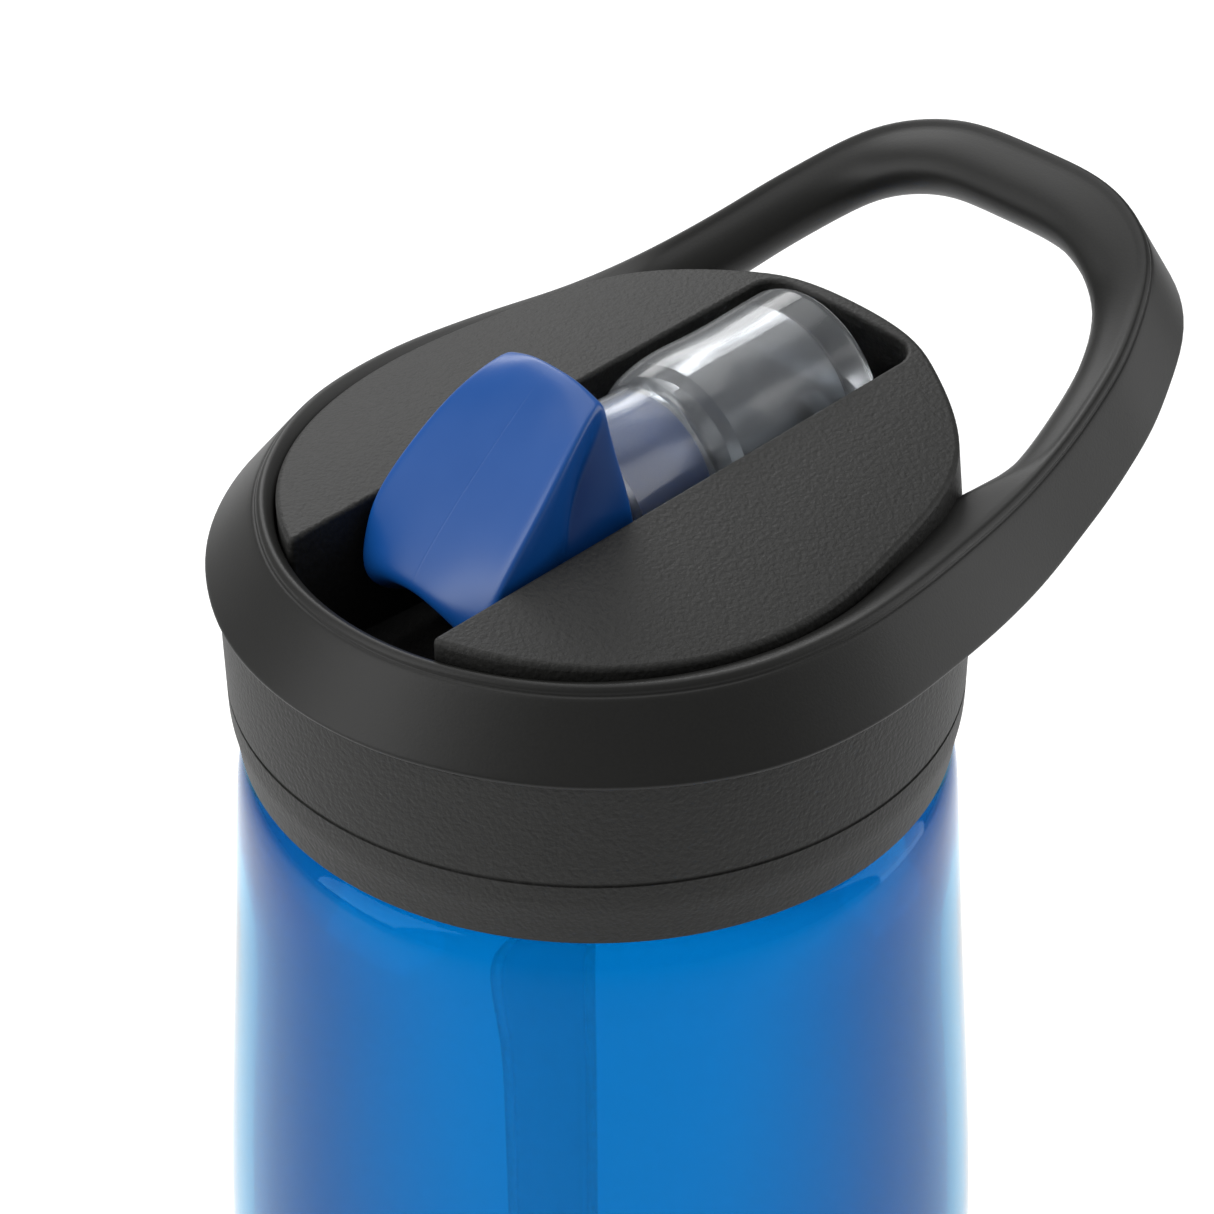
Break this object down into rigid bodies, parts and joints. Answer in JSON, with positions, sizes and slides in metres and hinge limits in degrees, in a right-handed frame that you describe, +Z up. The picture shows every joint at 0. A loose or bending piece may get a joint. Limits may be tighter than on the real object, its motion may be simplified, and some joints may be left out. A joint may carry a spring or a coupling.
{
  "type": "sports drinking bottle",
  "caption": "Clear drinking bottle with a screw lid, a fixed carry loop and a flip-up straw spout with a soft bite valve.",
  "frame": {"origin": "centre of the base on the bottle's axis, in the plane that it stands on", "axes": "+Z up along the bottle's axis, +Y towards the carry loop, -Y towards the mouthpiece"},
  "size_m": [0.0736, 0.095, 0.2445],
  "materials": {
    "clear_blue_body": "clear azure tinted copolyester, glossy",
    "lid_plastic": "fine-grained charcoal polypropylene",
    "handle_plastic": "smooth satin charcoal polypropylene",
    "spout_milky": "milky translucent polypropylene",
    "valve_silicone": "royal blue silicone, satin",
    "seal_silicone": "natural white silicone",
    "straw_clear": "natural translucent tube"
  },
  "bodies": {
    "bottle": {"bottle_body": "clear_blue_body"},
    "lid_seal": {"lid_gasket": "seal_silicone"},
    "lid": {"lid_shell": "lid_plastic", "thread_liner": "lid_plastic", "carry_handle": "handle_plastic", "spout_seal": "seal_silicone", "vent_valve": "seal_silicone", "straw": "straw_clear"},
    "mouthpiece": {"spout": "spout_milky", "bite_valve": "valve_silicone"}
  },
  "joints": [
    {"name": "lid_lift", "type": "slide", "parent": "bottle", "child": "lid_seal", "axis": [0, 0, 1], "range_m": [0, 0.0049]},
    {"name": "lid_turn", "type": "hinge", "parent": "lid_seal", "child": "lid", "pos_m": [0, 0, 0.208], "axis": [0, 0, 1], "range_deg": [0, 540]},
    {"name": "spout_flip", "type": "hinge", "parent": "lid", "child": "mouthpiece", "pos_m": [0, 0.0196, 0.2312], "axis": [-1, 0, 0], "range_deg": [0, 90]}
  ],
  "couplings": [
    {"joint": "lid_lift", "follows": "lid_turn", "m_per_rad": 0.0005093}
  ]
}
